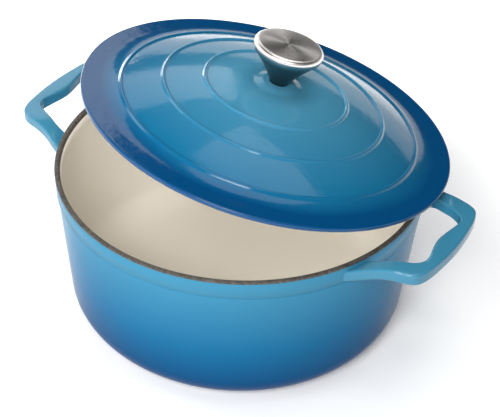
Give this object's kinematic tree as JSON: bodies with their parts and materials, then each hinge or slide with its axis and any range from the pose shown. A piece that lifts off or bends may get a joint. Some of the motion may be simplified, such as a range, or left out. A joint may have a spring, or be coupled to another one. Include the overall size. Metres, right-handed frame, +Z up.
{
  "type": "enamelled cast-iron casserole",
  "caption": "Round enamelled cast-iron casserole in shaded blue with a cream inside, loop handles, and a domed ringed lid with a steel knob.",
  "frame": {"origin": "centre of the flat base, on the surface that the pot stands on", "axes": "+Z up along the pot's axis, +X along the line through both handles"},
  "size_m": [0.3408, 0.2772, 0.2166],
  "materials": {
    "bare_iron": "rough bare rim and base",
    "blue_enamel": "glossy shaded blue enamel",
    "blue_enamelled_iron": "glossy light blue enamel on cast iron",
    "cream_enamel": "glossy cream enamel",
    "steel": "turned stainless steel"
  },
  "bodies": {
    "pot": {"pot_casting": "bare_iron", "pot_outer_enamel": "blue_enamel", "pot_inner_enamel": "cream_enamel", "right_handle": "blue_enamelled_iron", "left_handle": "blue_enamelled_iron"},
    "lid": {"lid_casting": "bare_iron", "lid_outer_enamel": "blue_enamel", "lid_inner_enamel": "cream_enamel", "knob": "steel", "knob_screw": "steel", "knob_washer": "steel"}
  },
  "joints": [
    {"name": "lid_lift", "type": "hinge", "parent": "pot", "child": "lid", "pos_m": [0.09733, 0.11934, 0.0583], "axis": [-0.7749, 0.632, 0], "range_deg": [-13.24, 50]}
  ]
}
